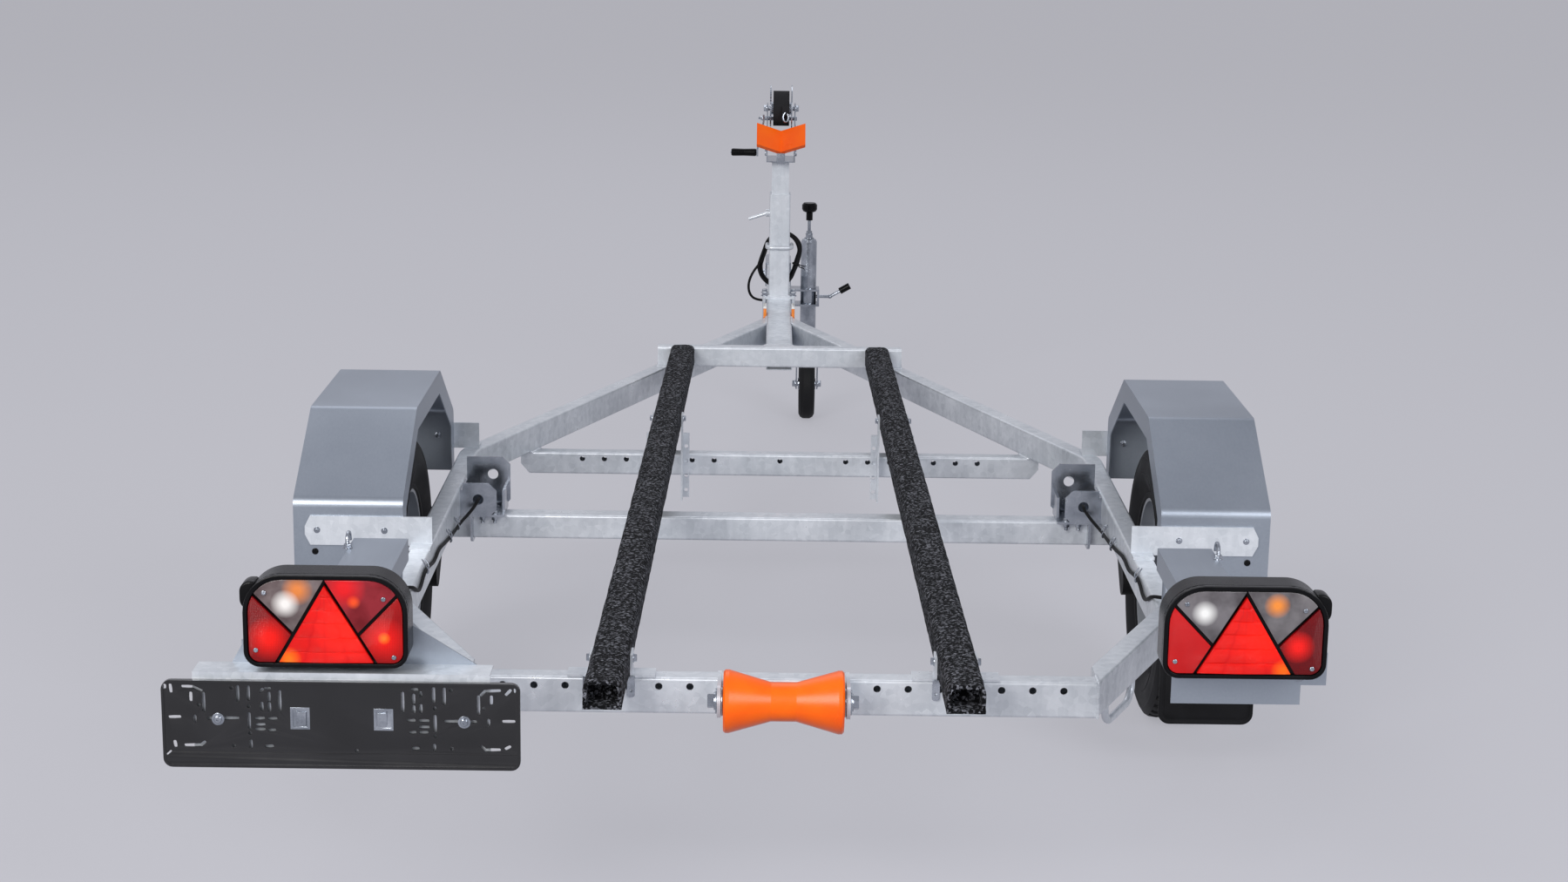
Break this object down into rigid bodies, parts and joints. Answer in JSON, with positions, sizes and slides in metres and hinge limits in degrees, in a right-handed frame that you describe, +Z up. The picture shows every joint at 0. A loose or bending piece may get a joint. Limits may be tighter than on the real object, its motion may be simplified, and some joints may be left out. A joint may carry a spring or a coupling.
{
  "type": "boat trailer",
  "caption": "Single-axle boat trailer with bent side rails, carpeted bunks, keel roller, winch post and jockey wheel.",
  "frame": {"origin": "on the ground under the middle of the trailer's bounding box", "axes": "+Y forward along the drawbar towards the coupling, +X to the right, +Z up"},
  "size_m": [1.844, 4.8, 1.066],
  "materials": {
    "galvanised": "matt hot-dip zinc with faint spangle",
    "bright_zinc": "bright zinc plate",
    "tyre": "black rubber with a light tread",
    "rim": "silver paint",
    "black_steel": "black paint",
    "carpet": "dark speckled carpet",
    "orange": "orange polyurethane",
    "black_plastic": "black moulded plastic",
    "black_rubber": "black sheet rubber",
    "red_lens": "red lamp lens with clear and amber fields",
    "amber_lens": "amber lamp lens",
    "webbing": "black woven webbing"
  },
  "bodies": {
    "frame": {"rear_cross_member": "galvanised", "rail_left": "galvanised", "rail_right": "galvanised", "middle_cross_member": "galvanised", "front_cross_member": "galvanised", "drawbar": "galvanised", "axle_beam": "galvanised", "axle_brackets": "galvanised", "axle_arm_left": "black_steel", "axle_arm_right": "black_steel", "mudguard_left": "galvanised", "mudguard_right": "galvanised", "mudguard_straps": "galvanised", "mudflap_left": "black_rubber", "mudflap_right": "black_rubber", "lamp_left": "black_plastic", "lamp_right": "black_plastic", "lamp_lens_left": "red_lens", "lamp_lens_right": "red_lens", "lamp_carrier_left": "galvanised", "lamp_carrier_right": "galvanised", "plate_holder": "black_plastic", "plate_carrier": "galvanised", "bunk_left": "carpet", "bunk_right": "carpet", "bunk_brackets_rear": "bright_zinc", "bunk_brackets_middle": "galvanised", "roller_bracket": "bright_zinc", "mast_sleeve": "galvanised", "mast_foot": "galvanised", "jockey_clamp": "bright_zinc", "jockey_tube": "bright_zinc", "jockey_knobs": "black_plastic", "supply_gland": "black_plastic", "supply_hank": "black_rubber", "supply_plug": "black_plastic", "supply_lead_rise": "black_rubber", "supply_lead_drop": "black_rubber", "coupling_head": "bright_zinc", "coupling_lever": "bright_zinc", "tie_loops": "galvanised", "side_markers": "amber_lens"},
    "wheel_left": {"tyre_left": "tyre", "rim_left": "rim", "hub_left": "bright_zinc"},
    "wheel_right": {"tyre_right": "tyre", "rim_right": "rim", "hub_right": "bright_zinc"},
    "keel_roller": {"keel_roller": "orange"},
    "mast": {"mast_post": "galvanised", "winch_frame": "bright_zinc", "bow_stop": "orange"},
    "winch_drum": {"winch_drum": "bright_zinc", "winch_strap": "webbing"},
    "winch_crank": {"winch_crank": "bright_zinc", "winch_grip": "black_plastic"},
    "jockey_slide": {"jockey_inner_tube": "bright_zinc"},
    "jockey_fork": {"jockey_fork": "bright_zinc"},
    "jockey_wheel": {"jockey_rim": "bright_zinc", "jockey_tyre": "black_rubber"}
  },
  "joints": [
    {"name": "wheel_left_spin", "type": "hinge", "parent": "frame", "child": "wheel_left", "pos_m": [-0.818, -0.9, 0.28], "axis": [1, 0, 0], "continuous": true},
    {"name": "wheel_right_spin", "type": "hinge", "parent": "frame", "child": "wheel_right", "pos_m": [0.818, -0.9, 0.28], "axis": [1, 0, 0], "continuous": true},
    {"name": "keel_roller_spin", "type": "hinge", "parent": "frame", "child": "keel_roller", "pos_m": [0, -2.16, 0.438], "axis": [1, 0, 0], "continuous": true},
    {"name": "mast_height", "type": "slide", "parent": "frame", "child": "mast", "axis": [0, 0, 1], "range_m": [-0.085, 0.09]},
    {"name": "winch_drum_spin", "type": "hinge", "parent": "mast", "child": "winch_drum", "pos_m": [0, 1.475, 1], "axis": [1, 0, 0], "continuous": true},
    {"name": "winch_crank_spin", "type": "hinge", "parent": "mast", "child": "winch_crank", "pos_m": [0, 1.54419, 0.96398], "axis": [1, 0, 0], "continuous": true},
    {"name": "jockey_height", "type": "slide", "parent": "frame", "child": "jockey_slide", "axis": [0, 0, 1], "range_m": [-0.12, 0.05]},
    {"name": "jockey_swivel", "type": "hinge", "parent": "jockey_slide", "child": "jockey_fork", "pos_m": [0.092, 1.845, 0.233], "axis": [0, 0, 1], "continuous": true},
    {"name": "jockey_wheel_spin", "type": "hinge", "parent": "jockey_fork", "child": "jockey_wheel", "pos_m": [0.092, 1.881, 0.108], "axis": [1, 0, 0], "continuous": true}
  ],
  "couplings": [
    {"joint": "winch_crank_spin", "follows": "winch_drum_spin", "ratio": -4.2}
  ]
}
